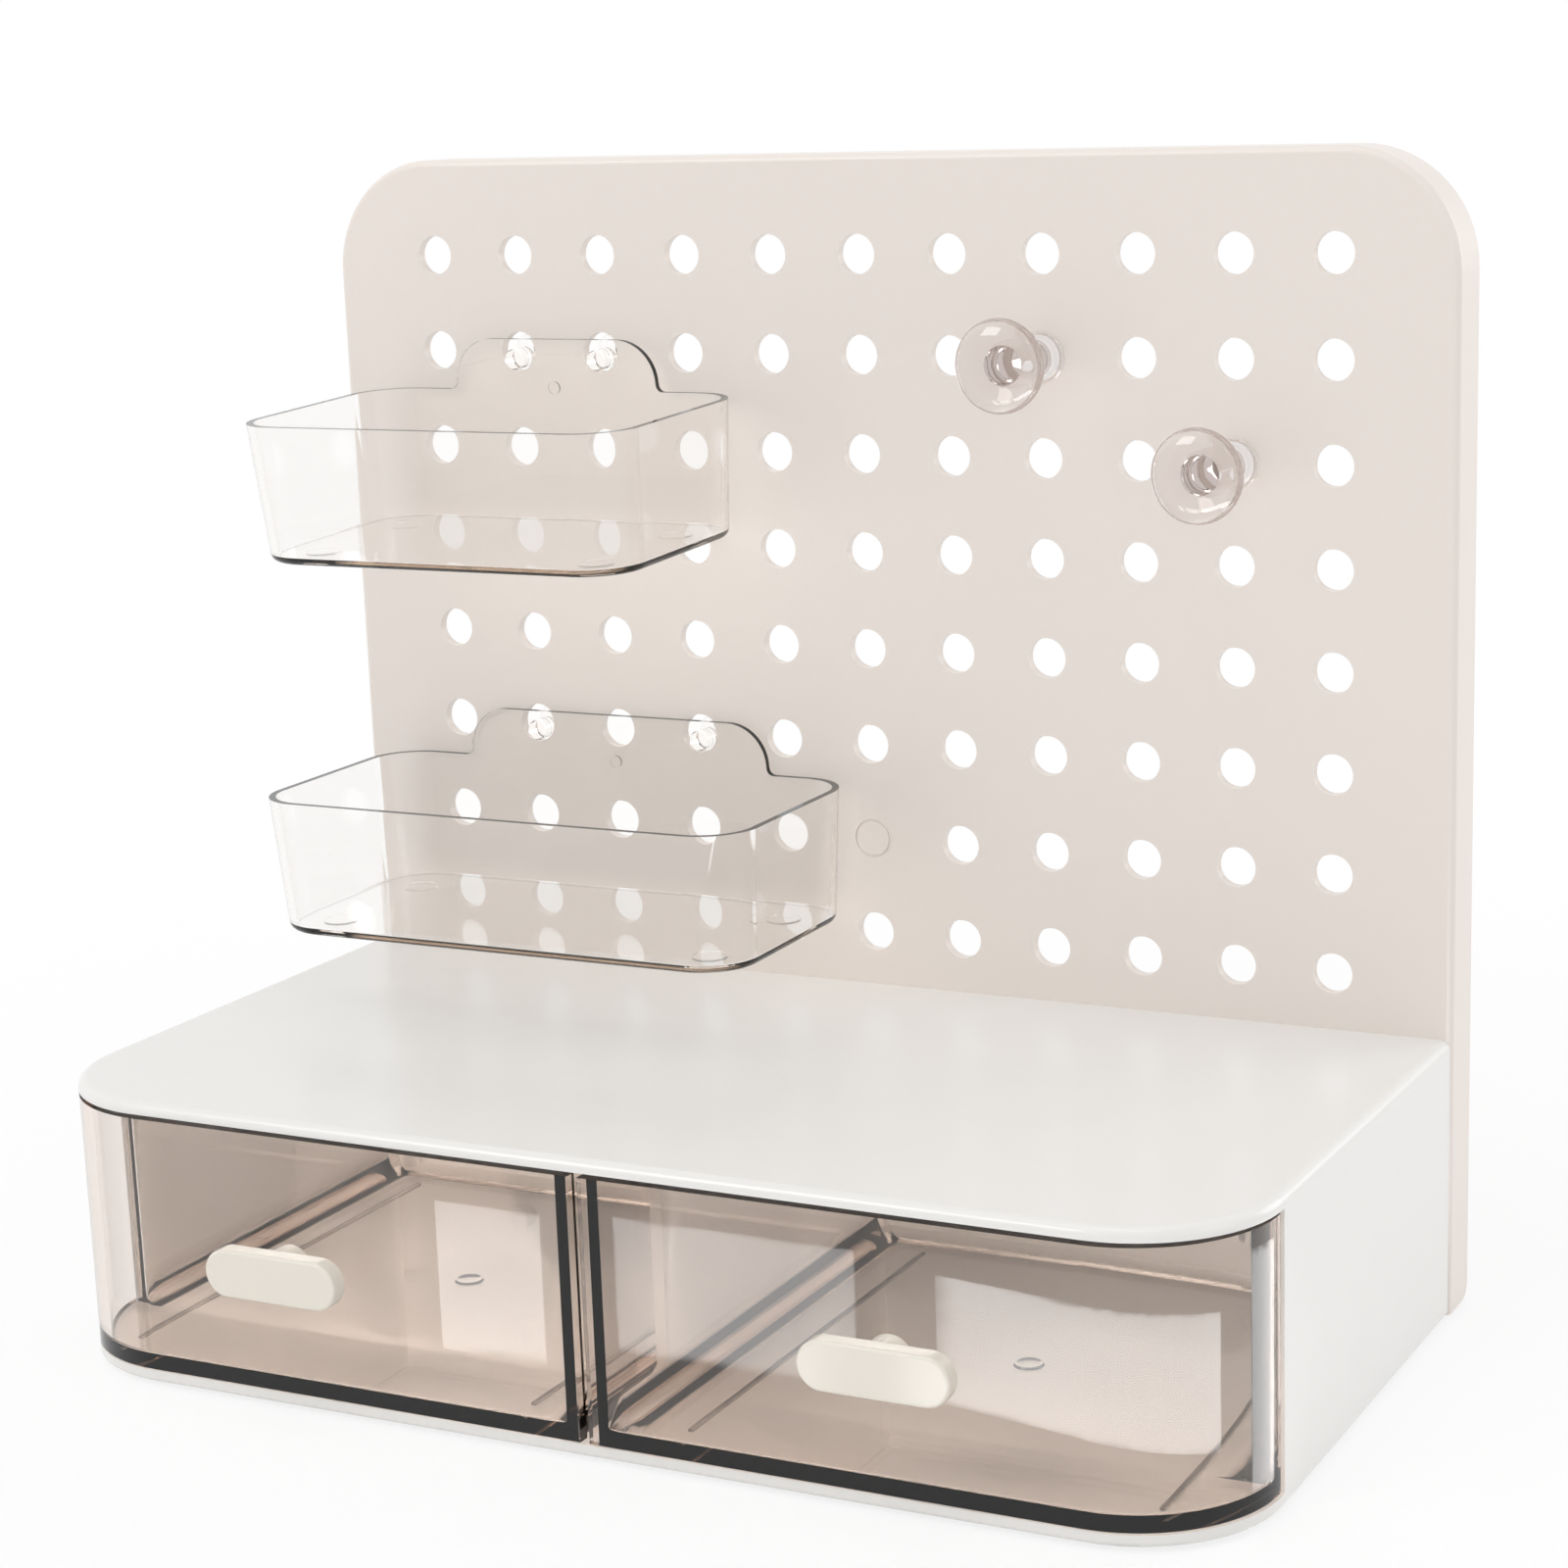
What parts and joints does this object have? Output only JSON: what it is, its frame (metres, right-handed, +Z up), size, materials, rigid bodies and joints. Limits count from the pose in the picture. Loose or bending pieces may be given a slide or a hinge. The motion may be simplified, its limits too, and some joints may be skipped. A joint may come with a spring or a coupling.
{
  "type": "drawer organizer",
  "caption": "Low desk base with see-through pull-out drawers and an upright pegboard behind it, holding clear hanging trays and clear pegs.",
  "frame": {"origin": "on the desk, under the middle of the whole outline from the front of the knobs to the back of the pegboard", "axes": "+X to the right seen from the front, +Y to the back, +Z up"},
  "size_m": [0.311, 0.182, 0.286],
  "materials": {
    "shell_white": "gloss, warm white",
    "board_white": "satin, warm white",
    "smoke_clear": "clear, smoke-brown tint",
    "clear": "clear",
    "cream": "gloss, cream",
    "pad_grey": "matte",
    "steel": "zinc-plated"
  },
  "bodies": {
    "stand": {"housing": "shell_white", "bottom_plate": "shell_white", "pegboard": "board_white", "foot_front_left": "pad_grey", "foot_front_right": "pad_grey", "foot_back_left": "pad_grey", "foot_back_right": "pad_grey", "board_screw_left_low": "steel", "board_screw_left_high": "steel", "board_screw_right_low": "steel", "board_screw_right_high": "steel", "bottom_screw_left": "steel", "bottom_screw_middle": "steel", "bottom_screw_right": "steel"},
    "left_drawer": {"drawer_left": "smoke_clear", "knob_left": "cream", "knob_screw_left": "steel"},
    "right_drawer": {"drawer_right": "smoke_clear", "knob_right": "cream", "knob_screw_right": "steel"},
    "upper_tray": {"tray_upper": "clear"},
    "lower_tray": {"tray_lower": "clear"},
    "upper_peg": {"peg_upper": "clear"},
    "lower_peg": {"peg_lower": "clear"}
  },
  "joints": [
    {"name": "drawer_left_slide", "type": "slide", "parent": "stand", "child": "left_drawer", "axis": [0, -1, 0], "range_m": [0, 0.11]},
    {"name": "drawer_right_slide", "type": "slide", "parent": "stand", "child": "right_drawer", "axis": [0, -1, 0], "range_m": [0, 0.11]},
    {"name": "tray_upper_lift_off", "type": "slide", "parent": "stand", "child": "upper_tray", "axis": [0, -1, 0], "range_m": [0, 0.03]},
    {"name": "tray_lower_lift_off", "type": "slide", "parent": "stand", "child": "lower_tray", "axis": [0, -1, 0], "range_m": [0, 0.03]},
    {"name": "peg_upper_pull_out", "type": "slide", "parent": "stand", "child": "upper_peg", "axis": [0, -1, 0], "range_m": [0, 0.02]},
    {"name": "peg_lower_pull_out", "type": "slide", "parent": "stand", "child": "lower_peg", "axis": [0, -1, 0], "range_m": [0, 0.02]}
  ]
}
